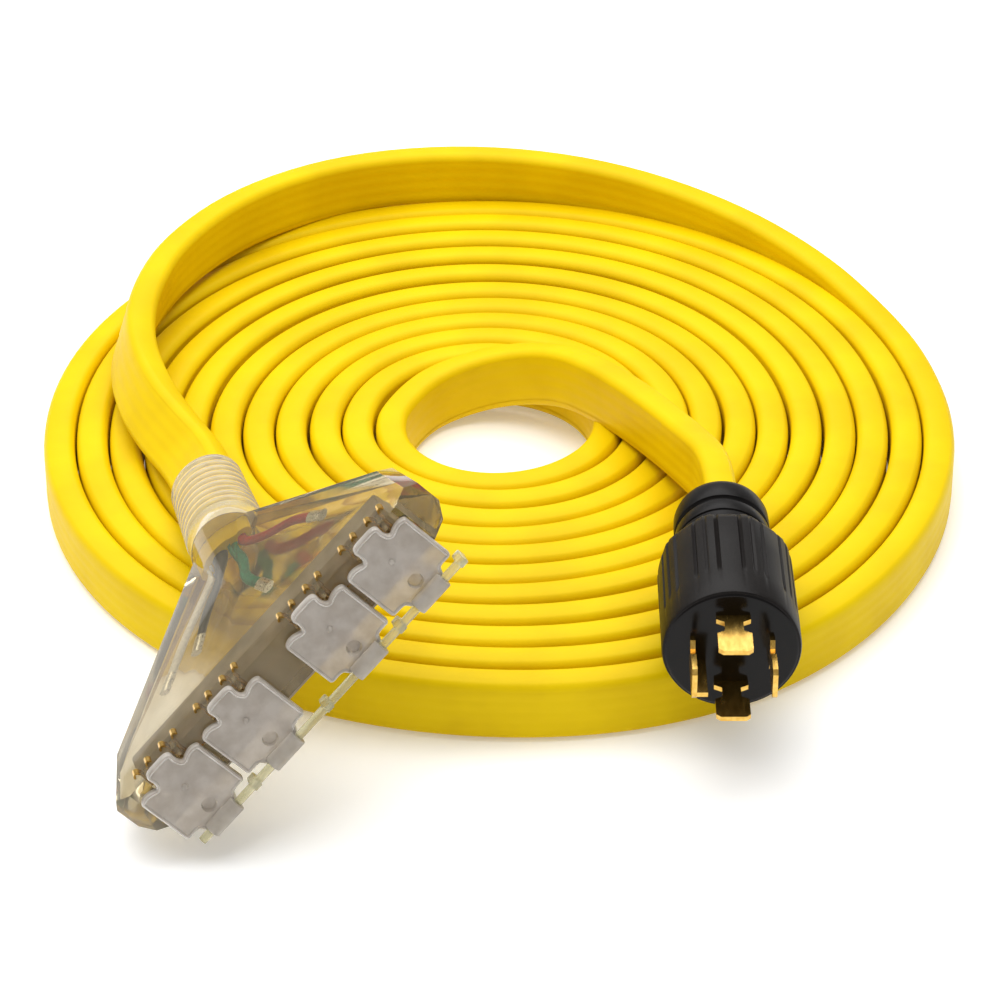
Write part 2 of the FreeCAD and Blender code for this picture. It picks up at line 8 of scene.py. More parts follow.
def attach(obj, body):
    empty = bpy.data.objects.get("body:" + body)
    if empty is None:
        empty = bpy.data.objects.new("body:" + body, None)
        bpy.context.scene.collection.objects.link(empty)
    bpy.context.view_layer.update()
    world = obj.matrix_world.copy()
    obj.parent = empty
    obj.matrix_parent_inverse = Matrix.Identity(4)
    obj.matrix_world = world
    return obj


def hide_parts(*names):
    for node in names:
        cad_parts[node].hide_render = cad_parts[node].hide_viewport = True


bl_info = {
    "name": "Shore power cord",
    "version": (1, 0, 0),
    "blender": (4, 5, 0),
    "location": "View3D > Sidebar > Power cord",
    "description": "Builds the looks of a flat generator and shore power cord around its packed frame",
    "category": "Object",
}

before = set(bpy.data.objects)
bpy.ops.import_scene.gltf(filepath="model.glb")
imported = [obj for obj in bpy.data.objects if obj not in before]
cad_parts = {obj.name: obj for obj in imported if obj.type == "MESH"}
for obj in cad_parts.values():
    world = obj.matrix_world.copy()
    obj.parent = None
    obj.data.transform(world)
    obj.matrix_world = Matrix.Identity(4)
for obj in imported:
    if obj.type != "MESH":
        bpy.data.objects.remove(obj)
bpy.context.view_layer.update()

MM = 0.001
ROOT = "cord_set"
COVERS = ("outlet_cover_1", "outlet_cover_2", "outlet_cover_3", "outlet_cover_4")

# The connector's own frame: x towards the outlet face, y along the outlets, z out of the broad side.
CONNECTOR = Matrix.Translation(Vector((-23.2, 28.0, 48.64)) * MM) @ Euler(
    (math.radians(44.27), math.radians(-9.35), math.radians(-76.85))).to_matrix().to_4x4()
# The plug's own frame: x from the neck to the blades.
PLUG = Matrix.Translation(Vector((147.0, 50.9, 48.6)) * MM) @ Matrix.Rotation(math.radians(-90), 4, "Z")

# Places that several of the connector's pieces share, in millimetres in its own frame.
BOSS_RADIUS = 14.7
RELIEF_START = -59.0
BLOCK_CORNER = [(88.3, 74.0), (97.4, 64.9)]     # the slanted end of the outlet row
SLOT_OFFSET = 6.35                              # a blade slot from its outlet's middle
EARTH_Z = -10.4
COVER_BACK = 97.8                               # the back of a closed cover
HINGE_X, HINGE_Z = 100.8, -19.5


# ---- materials --------------------------------------------------------------

def colour(hex_value):
    """An sRGB hex colour as linear RGBA."""
    def linear(byte):
        part = byte / 255
        return part / 12.92 if part <= 0.04045 else ((part + 0.055) / 1.055) ** 2.4
    return [linear(int(hex_value[i:i + 2], 16)) for i in (1, 3, 5)] + [1.0]


def new_material(name, **sockets):
    """A material whose Principled shader has these values on its own sockets."""
    made = bpy.data.materials.new(name)
    made.use_nodes = True
    shader = made.node_tree.nodes["Principled BSDF"]
    for key, value in sockets.items():
        shader.inputs[key.replace("_", " ")].default_value = value
    return made, shader


def add_node(made, kind, links=None, **settings):
    """Adds a node; settings are its properties or input values, links its inputs' sources."""
    node = made.node_tree.nodes.new(kind)
    for key, value in settings.items():
        if key in node.bl_rna.properties:
            setattr(node, key, value)
        else:
            node.inputs[key.replace("_", " ")].default_value = value
    for key, source in (links or {}).items():
        made.node_tree.links.new(source, node.inputs[key])
    return node


def noise(made, feature_mm, detail=3.0, stretch=(1, 1, 1)):
    """Noise on object coordinates whose features are about feature_mm across."""
    place = add_node(made, "ShaderNodeTexCoord")
    mapping = add_node(made, "ShaderNodeMapping", {"Vector": place.outputs["Object"]}, Scale=stretch)
    return add_node(made, "ShaderNodeTexNoise", {"Vector": mapping.outputs["Vector"]},
                    Scale=1 / (feature_mm * MM), Detail=detail)


def vary_colour(made, shader, grain, dark, light, low=0.35, high=0.65):
    """Base colour that wanders between two close tones."""
    ramp = add_node(made, "ShaderNodeValToRGB", {"Fac": grain.outputs["Fac"]})
    ramp.color_ramp.elements[0].position = low
    ramp.color_ramp.elements[0].color = colour(dark)
    ramp.color_ramp.elements[1].position = high
    ramp.color_ramp.elements[1].color = colour(light)
    made.node_tree.links.new(ramp.outputs["Color"], shader.inputs["Base Color"])


def vary_roughness(made, shader, grain, low, high):
    spread = add_node(made, "ShaderNodeMapRange", {"Value": grain.outputs["Fac"]},
                      To_Min=low, To_Max=high)
    made.node_tree.links.new(spread.outputs["Result"], shader.inputs["Roughness"])


def bump(made, shader, grain, height_mm, strength=1.0):
    raised = add_node(made, "ShaderNodeBump", {"Height": grain.outputs["Fac"]},
                      Distance=height_mm * MM, Strength=strength)
    made.node_tree.links.new(raised.outputs["Normal"], shader.inputs["Normal"])


def extruded_yellow_pvc():
    """Extruded flexible PVC jacket: strong lemon yellow, satin, with a faint pull-marked skin."""
    made, shader = new_material("extruded_yellow_pvc", IOR=1.5, Specular_IOR_Level=0.1)
    cloud = noise(made, 30.0, 3.0)
    vary_colour(made, shader, cloud, "#DEBB00", "#E7C600")
    skin = noise(made, 1.6, 4.0)
    vary_roughness(made, shader, skin, 0.42, 0.56)
    bump(made, shader, skin, 0.06, 0.5)
    return made


def smoky_clear_pvc():
    """Injection-moulded clear PVC: warm grey-brown tint, glossy, with slow flow waves in its surface."""
    made, shader = new_material("smoky_clear_pvc", IOR=1.3, Transmission_Weight=0.9)
    cloud = noise(made, 16.0, 2.0)
    vary_colour(made, shader, cloud, "#C9BB98", "#DCD0B2")
    vary_roughness(made, shader, cloud, 0.03, 0.07)
    bump(made, shader, noise(made, 16.0, 0.0), 0.3, 0.12)
    return made


def frosted_pvc():
    """Thin moulded PVC with a fine matt texture that scatters what is behind it."""
    made, shader = new_material("frosted_pvc", IOR=1.4, Transmission_Weight=0.5)
    cloud = noise(made, 5.0, 3.0)
    vary_colour(made, shader, cloud, "#C5BBAF", "#D9D1C7")
    grain = noise(made, 0.9, 3.0)
    vary_roughness(made, shader, grain, 0.26, 0.4)
    bump(made, shader, grain, 0.08, 0.5)
    return made


def milky_pvc():
    """Cloudy PVC insert that carries the contacts: grey-white, scattering, with slow swirls."""
    made, shader = new_material("milky_pvc", IOR=1.35, Transmission_Weight=0.55)
    cloud = noise(made, 9.0, 2.0)
    vary_colour(made, shader, cloud, "#B8AB97", "#D2C7B4")
    vary_roughness(made, shader, cloud, 0.3, 0.45)
    return made


def cover_rim_highlight_pvc():
    """The covers' rolled rim: thicker and smoother than the matt plate; its paler colour is a painted
    highlight.
    """
    made, shader = new_material("cover_rim_highlight_pvc", IOR=1.45, Transmission_Weight=0.12)
    cloud = noise(made, 4.0, 2.0)
    vary_colour(made, shader, cloud, "#EAE7E1", "#FAF8F4")
    vary_roughness(made, shader, cloud, 0.16, 0.28)
    return made


def pale_hinge_pvc():
    """Extruded hinge strip: pale straw, translucent, with a soft sheen."""
    made, shader = new_material("pale_hinge_pvc", IOR=1.35, Transmission_Weight=0.7)
    cloud = noise(made, 12.0, 2.0)
    vary_colour(made, shader, cloud, "#E0DBB4", "#EEEACB")
    vary_roughness(made, shader, cloud, 0.16, 0.26)
    return made


def ribbed_clear_pvc():
    """Soft clear PVC of the strain relief: paler than the moulding, milky in its ribs."""
    made, shader = new_material("ribbed_clear_pvc", IOR=1.36, Transmission_Weight=0.72)
    cloud = noise(made, 8.0, 3.0)
    vary_colour(made, shader, cloud, "#F6F2E6", "#FFFEFA")
    vary_roughness(made, shader, cloud, 0.05, 0.12)
    return made


def moulded_black_nylon():
    """Glass-filled nylon shell: near-black, satin, with a fine spark-eroded grain."""
    made, shader = new_material("moulded_black_nylon", IOR=1.52, Specular_IOR_Level=0.14)
    grain = noise(made, 0.7, 4.0)
    vary_colour(made, shader, grain, "#100D0B", "#191513")
    vary_roughness(made, shader, grain, 0.36, 0.5)
    bump(made, shader, grain, 0.07, 0.5)
    return made


def black_vinyl():
    """Flexible vinyl neck, a little duller and smoother than the shell."""
    made, shader = new_material("black_vinyl", IOR=1.5, Specular_IOR_Level=0.14)
    grain = noise(made, 2.5, 3.0)
    vary_colour(made, shader, grain, "#0D0B0A", "#151211")
    vary_roughness(made, shader, grain, 0.32, 0.44)
    bump(made, shader, grain, 0.05, 0.4)
    return made


def polished_black_phenolic():
    """Polished black face insert: deep gloss with slight moulding waves."""
    made, shader = new_material("polished_black_phenolic", IOR=1.55, Specular_IOR_Level=0.16)
    flow = noise(made, 7.0, 2.0)
    vary_colour(made, shader, flow, "#070504", "#0D0908")
    vary_roughness(made, shader, flow, 0.12, 0.2)
    bump(made, shader, flow, 0.06, 0.4)
    return made


def rolled_brass():
    """Stamped sheet brass: warm yellow, lightly rolled along its length."""
    made, shader = new_material("rolled_brass", Metallic=1.0)
    grain = noise(made, 1.4, 2.0, stretch=(1.0, 0.3, 1.0))
    vary_colour(made, shader, grain, "#CDA24C", "#E3BA63")
    vary_roughness(made, shader, grain, 0.2, 0.3)
    bump(made, shader, grain, 0.01, 0.4)
    return made


def tinned_copper():
    """Tinned crimp barrels: pale grey metal with a soft tool-marked skin."""
    made, shader = new_material("tinned_copper", Metallic=1.0)
    grain = noise(made, 0.8, 3.0)
    vary_colour(made, shader, grain, "#B9B5AC", "#DDD9CF")
    vary_roughness(made, shader, grain, 0.2, 0.38)
    bump(made, shader, grain, 0.05, 0.6)
    return made


def core_insulation(name, dark, light):
    """Solid-coloured PVC over a stranded core, slightly glossy."""
    made, shader = new_material("core_insulation_" + name, IOR=1.5)
    grain = noise(made, 1.2, 3.0)
    vary_colour(made, shader, grain, dark, light)
    vary_roughness(made, shader, grain, 0.28, 0.4)
    bump(made, shader, grain, 0.05, 0.5)
    return made


def studio_floor():
    """Matt white sweep with a trace of mottling."""
    made, shader = new_material("studio_floor", Specular_IOR_Level=0.15, Emission_Color=(1, 1, 1, 1),
                                Emission_Strength=0.2)
    cloud = noise(made, 260.0, 2.0)
    vary_colour(made, shader, cloud, "#F4F4F3", "#F8F8F7")
    vary_roughness(made, shader, cloud, 0.85, 0.95)
    return made


MADE = {}


def finish(maker, *words):
    """Each material is made once and then shared."""
    key = (maker.__name__,) + words
    if key not in MADE:
        MADE[key] = maker(*words)
    return MADE[key]


# ---- mesh helpers -----------------------------------------------------------

def shown(mesh, name, surface, body=ROOT, crease=35.0, second=None):
    """Links a finished mesh as a piece that rides on a body."""
    piece = bpy.data.objects.new(name, mesh)
    bpy.context.scene.collection.objects.link(piece)
    mesh.materials.clear()
    mesh.materials.append(surface)
    if second:
        mesh.materials.append(second)
    for face in mesh.polygons:
        face.use_smooth = True
    if crease:
        mesh.set_sharp_from_angle(angle=math.radians(crease))
    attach(piece, body)
    return piece


def mesh_of(shape, name, place=None):
    """A mesh datablock from a bmesh, moved into place, normals outwards."""
    bmesh.ops.remove_doubles(shape, verts=shape.verts, dist=1e-7)
    bmesh.ops.recalc_face_normals(shape, faces=shape.faces)
    if place:
        bmesh.ops.transform(shape, matrix=place, verts=shape.verts)
    mesh = bpy.data.meshes.new(name)
    shape.to_mesh(mesh)
    shape.free()
    return mesh


def prism(shape, outline, depth):
    """Adds a solid to the bmesh: a closed outline pushed along depth."""
    corners = [shape.verts.new(Vector(p)) for p in outline]
    base = shape.faces.new(corners)
    pushed = bmesh.ops.extrude_face_region(shape, geom=[base])
    moved = [v for v in pushed["geom"] if isinstance(v, bmesh.types.BMVert)]
    bmesh.ops.translate(shape, vec=Vector(depth), verts=moved)


def block(shape, low, high):
    """Adds a box to the bmesh between two corners."""
    low, high = Vector(low), Vector(high)
    middle = Matrix.Translation((low + high) / 2)
    size = Matrix.Diagonal((high - low).to_4d())
    size[3][3] = 1
    bmesh.ops.create_cube(shape, size=1, matrix=middle @ size)


def rod(shape, start, end, radius, end_radius=None, segments=32):
    """Adds a capped cylinder or cone to the bmesh between two points."""
    start, end = Vector(start), Vector(end)
    along = end - start
    turn = along.to_track_quat("Z", "Y").to_matrix().to_4x4()
    bmesh.ops.create_cone(shape, cap_ends=True, segments=segments, radius1=radius,
                          radius2=radius if end_radius is None else end_radius,
                          depth=along.length, matrix=Matrix.Translation((start + end) / 2) @ turn)


def spun(profile, segments=72):
    """A closed solid of revolution about x from (x, radius) points that start and end on the axis."""
    shape = bmesh.new()
    chain = [shape.verts.new((x, 0, radius)) for x, radius in profile]
    edges = [shape.edges.new(pair) for pair in zip(chain, chain[1:])]
    bmesh.ops.spin(shape, geom=chain + edges, cent=(0, 0, 0), axis=(1, 0, 0), dvec=(0, 0, 0),
                   angle=math.tau, steps=segments, use_merge=True)
    return shape


def combined(mesh, other, operation):
    """The exact union or difference of two meshes, as a new mesh."""
    pair = [bpy.data.objects.new("working", m) for m in (mesh, other)]
    for piece in pair:
        bpy.context.scene.collection.objects.link(piece)
    step = pair[0].modifiers.new("combine", "BOOLEAN")
    step.operation = operation
    step.object = pair[1]
    step.solver = "EXACT"
    result = bpy.data.meshes.new_from_object(pair[0].evaluated_get(bpy.context.evaluated_depsgraph_get()))
    for piece in pair:
        bpy.data.objects.remove(piece)
    return result


def rounded(mesh, radius_mm, segments=2, angle=32.0):
    """The mesh with its hard edges rolled over."""
    piece = bpy.data.objects.new("working", mesh)
    bpy.context.scene.collection.objects.link(piece)
    roll = piece.modifiers.new("roll", "BEVEL")
    roll.width = radius_mm * MM
    roll.segments = segments
    roll.limit_method = "ANGLE"
    roll.angle_limit = math.radians(angle)
    roll.use_clamp_overlap = True
    roll.miter_outer = "MITER_ARC"
    result = bpy.data.meshes.new_from_object(piece.evaluated_get(bpy.context.evaluated_depsgraph_get()))
    bpy.data.objects.remove(piece)
    return result


def paint(node, surface):
    """Gives a frame node a finished material in every slot."""
    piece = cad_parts[node]
    if not piece.material_slots:
        piece.data.materials.append(surface)
    for place in piece.material_slots:
        place.material = surface


# ---- settings ---------------------------------------------------------------

class CableSettings(bpy.types.PropertyGroup):
    width: bpy.props.FloatProperty(name="Width", description="Across the four cores",
                                   default=0.0238, subtype="DISTANCE", unit="LENGTH")
    thickness: bpy.props.FloatProperty(name="Thickness", description="Through one core",
                                       default=0.0117, subtype="DISTANCE", unit="LENGTH")
    corner: bpy.props.FloatProperty(name="Corner", description="Radius of the jacket's corners",
                                    default=0.0031, subtype="DISTANCE", unit="LENGTH")
    rib: bpy.props.FloatProperty(name="Core ribs", description="How far the cores swell the flat sides",
                                 default=0.00022, subtype="DISTANCE", unit="LENGTH")
    length: bpy.props.FloatProperty(name="Length", description="Real length of the cable, 25 feet",
                                    default=7.62, subtype="DISTANCE", unit="LENGTH")


class ConnectorSettings(bpy.types.PropertyGroup):
    edge: bpy.props.FloatProperty(name="Edge roll", default=0.9,
                                  description="Radius of the moulding's edges in millimetres")
    cover_thickness: bpy.props.FloatProperty(name="Cover thickness", default=0.0024, subtype="DISTANCE",
                                             unit="LENGTH", description="Thickness of an outlet cover")
    outlets: bpy.props.FloatVectorProperty(name="Outlet places", size=4, default=(50.5, 20.5, -20.5, -50.5),
                                           description="Along the outlet row, in millimetres")


class PlugSettings(bpy.types.PropertyGroup):
    radius: bpy.props.FloatProperty(name="Grip radius", default=23.5,
                                    description="Radius of the plug's barrel in millimetres")
    facets: bpy.props.IntProperty(name="Facets", description="Wide ribs round the grip", default=9)
    groove: bpy.props.FloatProperty(name="Groove depth", description="Depth of a grip groove in millimetres",
                                    default=0.9)


class StageSettings(bpy.types.PropertyGroup):
    softbox: bpy.props.FloatProperty(name="Softbox power", default=52.0,
                                     description="Overhead softbox in watts")
    fill: bpy.props.FloatProperty(name="Surround", default=0.45,
                                  description="Strength of the surrounding light")


# ---- stage ------------------------------------------------------------------

class SHORECORD_OT_stage(bpy.types.Operator):
    """Camera, pale floor and soft studio light"""
    bl_idname = "shorecord.stage"
    bl_label = "Stage and camera"

    def execute(self, context):
        settings = context.scene.shorecord_stage
        target = Vector((70.5, 158.9, 0.0)) * MM
        distance, tilt = 1.5, math.radians(32.0)
        lens = bpy.data.cameras.new("camera")
        lens.lens = 141.36
        lens.sensor_width = 36.0
        lens.shift_x = -0.003
        lens.shift_y = -0.030
        lens.clip_start = 0.01
        camera = bpy.data.objects.new("camera", lens)
        context.scene.collection.objects.link(camera)
        camera.location = target + Vector((0, -distance * math.cos(tilt), distance * math.sin(tilt)))
        camera.rotation_euler = (math.radians(90) - tilt, 0, 0)
        context.scene.camera = camera

        ground = bmesh.new()
        bmesh.ops.create_grid(ground, x_segments=8, y_segments=8, size=4.0)
        floor = bpy.data.objects.new("floor", bpy.data.meshes.new("floor"))
        ground.to_mesh(floor.data)
        ground.free()
        floor.location = (target.x, target.y, -0.0003)
        floor.data.materials.append(finish(studio_floor))
        context.scene.collection.objects.link(floor)

        box_light = bpy.data.lights.new("softbox", "AREA")
        box_light.shape = "SQUARE"
        box_light.size = 2.4
        box_light.energy = settings.softbox
        softbox = bpy.data.objects.new("softbox", box_light)
        softbox.location = target + Vector((-0.25, 0.35, 1.6))
        softbox.rotation_euler = (target - softbox.location).to_track_quat("-Z", "Y").to_euler()
        context.scene.collection.objects.link(softbox)

        world = bpy.data.worlds.new("surround")
        world.use_nodes = True
        world.node_tree.nodes["Background"].inputs["Color"].default_value = (1, 1, 1, 1)
        world.node_tree.nodes["Background"].inputs["Strength"].default_value = settings.fill
        context.scene.world = world
        context.scene.view_settings.view_transform = "Standard"
        return {"FINISHED"}


# ---- cable ------------------------------------------------------------------

# The route is the frame's own, in metres, from the plug's neck to the connector's strain relief.
PLUG_TAIL = [
    (0.1470, 0.0509, 0.0486), (0.1470, 0.0739, 0.0486), (0.1395, 0.1030, 0.0405),
    (0.1295, 0.1255, 0.0374), (0.1180, 0.1455, 0.0358), (0.1073, 0.1640, 0.0325),
    (0.0964, 0.1808, 0.0285), (0.0832, 0.1931, 0.0230), (0.0671, 0.1986, 0.0180),
    (0.0513, 0.1964, 0.0140), (0.0390, 0.1878, 0.0120),
]
CONNECTOR_TAIL = [
    (0.2198, 0.2365, 0.0135), (0.1965, 0.2745, 0.0190), (0.1608, 0.3085, 0.0246),
    (0.1131, 0.3322, 0.0300), (0.0598, 0.3406, 0.0328), (0.0066, 0.3302, 0.0340),
    (-0.0345, 0.2954, 0.0374), (-0.0600, 0.2522, 0.0390), (-0.0701, 0.2122, 0.0396),
    (-0.0715, 0.1800, 0.0390), (-0.0640, 0.1500, 0.0374), (-0.0535, 0.1275, 0.0358),
    (-0.0414, 0.1058, 0.0355), (-0.03644, 0.08469, 0.03905),
]
# The flat cable stands on edge, then turns over to lie square to the connector's row of outlets.
RELIEF_TILT = math.radians(-45.7)
TILTED_POINTS = 7


# The coil, in millimetres: radii are to the cable's middle line, angles run from its inner end.
COIL_CENTRE = Vector((66.2, 157.1, 12.0))
COIL_START, COIL_END, POINTS_PER_TURN = 150.0, 3976.0, 24
COIL_RADIUS, COIL_PITCH = 38.2, 12.45
INNER_SLACK = 7.0                               # the first turns bulge at the far side
FAR_SPREAD, FAR_SIDE = 9.5, math.radians(98)    # the outer turns spread at the far side
NEAR_SPREAD, NEAR_SIDE = 6.2, math.radians(62)  # and the last ones at the near right
FAR_LIFT, LIFT_END = 1.2, 0.975


def coil_turns():
    """Control points of the ten and a half flat-wound turns, two dozen to a turn."""
    # A spline through a ring of control points runs inside it by this share.
    inside = 0.75 + 0.25 * math.cos(math.tau / POINTS_PER_TURN)
    count = round((COIL_END - COIL_START) / 360 * POINTS_PER_TURN)
    for index in range(1, count + 1):
        angle = COIL_START + (COIL_END - COIL_START) * index / count
        turn = math.radians(angle)
        along = index / count
        slack = INNER_SLACK * max(0.0, math.sin(turn)) ** 2 * (1 - along)
        outer = min(1.0, max(0.0, 2 * along - 0.7))
        far = max(0.0, math.cos(turn - FAR_SIDE)) ** 1.3
        near = max(0.0, math.cos(turn + NEAR_SIDE)) ** 8
        spread = FAR_SPREAD * outer * outer * (3 - 2 * outer) * far
        spread += NEAR_SPREAD * min(1.0, max(0.0, (along - 0.6) / 0.35)) * near
        wander = 0.35 * math.sin(1.7 * turn) * math.sin(0.31 * turn) + 0.2 * math.sin(2.9 * turn + 1)
        radius = (COIL_RADIUS + COIL_PITCH * (angle - 180) / 360 + slack + spread + wander) / inside
        lift = 0.25 * (1 + math.sin(1.3 * turn)) * (1 - along)
        lift += FAR_LIFT * far * outer * (1 if along < LIFT_END else 0)
        yield Vector((COIL_CENTRE.x + radius * math.cos(turn), COIL_CENTRE.y + radius * math.sin(turn),
                      COIL_CENTRE.z + lift)) * MM


def cable_section(settings):
    """Closed flat section with rounded corners, slightly crowned ends and a faint swell over each core."""
    half_height, half_width, corner = settings.width / 2, settings.thickness / 2, settings.corner
    flat = half_height - corner
    across, corner_steps, cores = 16, 5, 4
    crown = 0.0005
    points = []
    for side in (1, -1):
        for step in range(across + 1):
            y = flat * (1 - 2 * step / across) * side
            swell = settings.rib * (1 - math.cos(cores * math.pi * (y / flat + 1))) / 2
            points.append(((half_width - settings.rib + swell) * side, y))
        for quarter in (1, -1):
            for step in range(1, corner_steps + 1):
                turn = math.radians(90) * step / corner_steps
                if quarter < 0:
                    turn = math.radians(90) - turn
                x = (half_width - corner + corner * math.cos(turn)) * quarter
                y = flat + corner * math.sin(turn) - crown * (x / half_width) ** 2
                points.append((x * side, -y * side))
    points = [p for p, q in zip(points, points[1:] + points[:1]) if (Vector(p) - Vector(q)).length > 1e-6]
    curve = bpy.data.curves.new("cable_section", "CURVE")
    curve.dimensions = "2D"
    spline = curve.splines.new("POLY")
    spline.points.add(len(points) - 1)
    for point, (x, y) in zip(spline.points, points):
        point.co = (x, y, 0, 1)
    spline.use_cyclic_u = True
    return bpy.data.objects.new("cable_section", curve)


class SHORECORD_OT_cable(bpy.types.Operator):
    """The flat yellow cable, from the plug through its coil to the connector"""
    bl_idname = "shorecord.cable"
    bl_label = "Cable"

    def execute(self, context):
        settings = context.scene.shorecord_cable
        route = [Vector(p) for p in PLUG_TAIL] + list(coil_turns()) + [Vector(p) for p in CONNECTOR_TAIL]
        curve = bpy.data.curves.new("cable_route", "CURVE")
        curve.dimensions = "3D"
        curve.twist_mode = "Z_UP"
        curve.resolution_u = 6
        spline = curve.splines.new("NURBS")
        spline.points.add(len(route) - 1)
        for point, place in zip(spline.points, route):
            point.co = (*place, 1)
        spline.order_u = 3
        spline.use_endpoint_u = True
        for step, point in enumerate(spline.points[-TILTED_POINTS:], start=1):
            share = min(1.0, step / (TILTED_POINTS - 1))
            point.tilt = RELIEF_TILT * share * share * (3 - 2 * share)
        line = bpy.data.objects.new("cable_route", curve)
        context.scene.collection.objects.link(line)
        path = [tuple(v.co) for v in bpy.data.meshes.new_from_object(line).vertices]

        section = cable_section(settings)
        context.scene.collection.objects.link(section)
        curve.bevel_mode = "OBJECT"
        curve.bevel_object = section
        curve.use_fill_caps = True
        tube = bpy.data.meshes.new_from_object(line.evaluated_get(context.evaluated_depsgraph_get()))
        shape = bmesh.new()
        shape.from_mesh(tube)
        cable = shown(mesh_of(shape, "cable"), "cable", finish(extruded_yellow_pvc),
                      crease=50)
        for spare in (line, section):
            bpy.data.objects.remove(spare)
        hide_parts("cable_coil", "cable_tail_plug", "cable_tail_connector")
        context.scene["cable_path"] = [value for point in path for value in point]
        return {"FINISHED"}


# ---- connector --------------------------------------------------------------

def mirrored_plan(points, z):
    """A closed outline at height z from the +y half of a plan, in metres."""
    both = points + [(x, -y) for x, y in reversed(points)]
    return [Vector((x, y, z)) * MM for x, y in both]


def fan_solid():
    """The fan web with bevelled legs and the cable boss; the taller outlet block is lost, see below."""
    web_half, chamfer = 9.0, 4.2
    block_low, block_height = -17.0, 33.0
    web = bmesh.new()
    plan = [(0, BOSS_RADIUS), (64.5, 68.7)] + BLOCK_CORNER
    prism(web, mirrored_plan(plan, -web_half), (0, 0, 2 * web_half * MM))
    legs = [e for e in web.edges if abs(e.verts[0].co.z - e.verts[1].co.z) < 1e-6
            and 1 * MM < (e.verts[0].co.x + e.verts[1].co.x) / 2 < 84 * MM
            and abs(e.verts[0].co.y + e.verts[1].co.y) > 20 * MM]
    bmesh.ops.bevel(web, geom=legs, offset=chamfer * MM, offset_type="OFFSET", segments=1,
                    profile=0.5, affect="EDGES", material=-1)
    outlets = bmesh.new()
    prism(outlets, mirrored_plan([(66.0, 69.0)] + BLOCK_CORNER, block_low), (0, 0, block_height * MM))
    # Meant to cut the block's top behind the outlet wall, and both ends of its top edge.
    # Known fault: this cutter overlaps itself, so the exact difference returns an empty mesh.
    step_front, behind, past_end, above = 84.9, 60, 90, 30
    step = bmesh.new()
    block(step, Vector((behind, -past_end, web_half)) * MM, Vector((step_front, past_end, above)) * MM)
    for side in (1, -1):
        wedge = [Vector((behind, side * y, z)) * MM for y, z in
                 ((61.3, 16.0), (61.3, above), (past_end, above), (past_end, 1.4), (74.0, 1.4))]
        prism(step, wedge, (60 * MM, 0, 0))
    boss = bmesh.new()
    rod(boss, (0, 0, 0), (40 * MM, 0, 0), BOSS_RADIUS * MM, 8.6 * MM, 48)
    solid = combined(mesh_of(outlets, "block"), mesh_of(step, "step"), "DIFFERENCE")
    solid = combined(solid, mesh_of(web, "web"), "UNION")
    return combined(solid, mesh_of(boss, "boss"), "UNION")


def outlet_holes(outlets):
    """Cutters for the straight blade slots and the round earth holes of every outlet."""
    holes = bmesh.new()
    deep, front = 84.0, 99.0
    slot_half, slot_low, slot_high, earth_radius = 0.95, -2.5, 5.5, 2.65
    for y in outlets:
        for side in (SLOT_OFFSET, -SLOT_OFFSET):
            block(holes, Vector((deep, y + side - slot_half, slot_low)) * MM,
                  Vector((front, y + side + slot_half, slot_high)) * MM)
        rod(holes, Vector((deep, y, EARTH_Z)) * MM, Vector((front, y, EARTH_Z)) * MM, earth_radius * MM,
            segments=28)
    return mesh_of(holes, "holes")


class SHORECORD_OT_connector(bpy.types.Operator):
    """The smoky clear fan moulding with its outlet openings"""
    bl_idname = "shorecord.connector"
    bl_label = "Fan connector"

    def execute(self, context):
        settings = context.scene.shorecord_connector
        solid = rounded(fan_solid(), settings.edge, 3)
        solid = combined(solid, outlet_holes(settings.outlets), "DIFFERENCE")
        solid.transform(CONNECTOR)
        body = shown(solid, "fan_moulding", finish(smoky_clear_pvc), crease=28)
        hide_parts("outlet_body")
        return {"FINISHED"}


class SHORECORD_OT_relief(bpy.types.Operator):
    """The ribbed clear strain relief on the cable"""
    bl_idname = "shorecord.relief"
    bl_label = "Strain relief"

    def execute(self, context):
        ribs, end = 9, -13.0
        flattening, flat_run = 0.14, 45
        pitch = (end - RELIEF_START) / ribs
        profile = [(RELIEF_START, 0.0), (RELIEF_START, 12.4), (RELIEF_START + 0.5, 13.0)]
        for rib in range(ribs):
            x = RELIEF_START + 0.6 + rib * pitch
            root = 12.6 + 0.8 * rib / ribs
            crest = root + 1.6
            profile += [(x, root), (x + 0.5, crest - 0.3), (x + 1.0, crest), (x + 2.4, crest),
                        (x + 2.9, crest - 0.3), (x + 3.4, root)]
        profile += [(-12.6, 14.0), (-11.6, BOSS_RADIUS), (0.4, BOSS_RADIUS), (0.4, 0.0)]
        shape = spun([(x * MM, radius * MM) for x, radius in profile])
        for vertex in shape.verts:
            share = min(1.0, max(0.0, -vertex.co.x / (flat_run * MM)))
            vertex.co.z *= 1 - flattening * share
        relief = shown(mesh_of(shape, "relief", CONNECTOR), "ribbed_relief", finish(ribbed_clear_pvc),
                       crease=60)
        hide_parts("strain_relief")
        return {"FINISHED"}


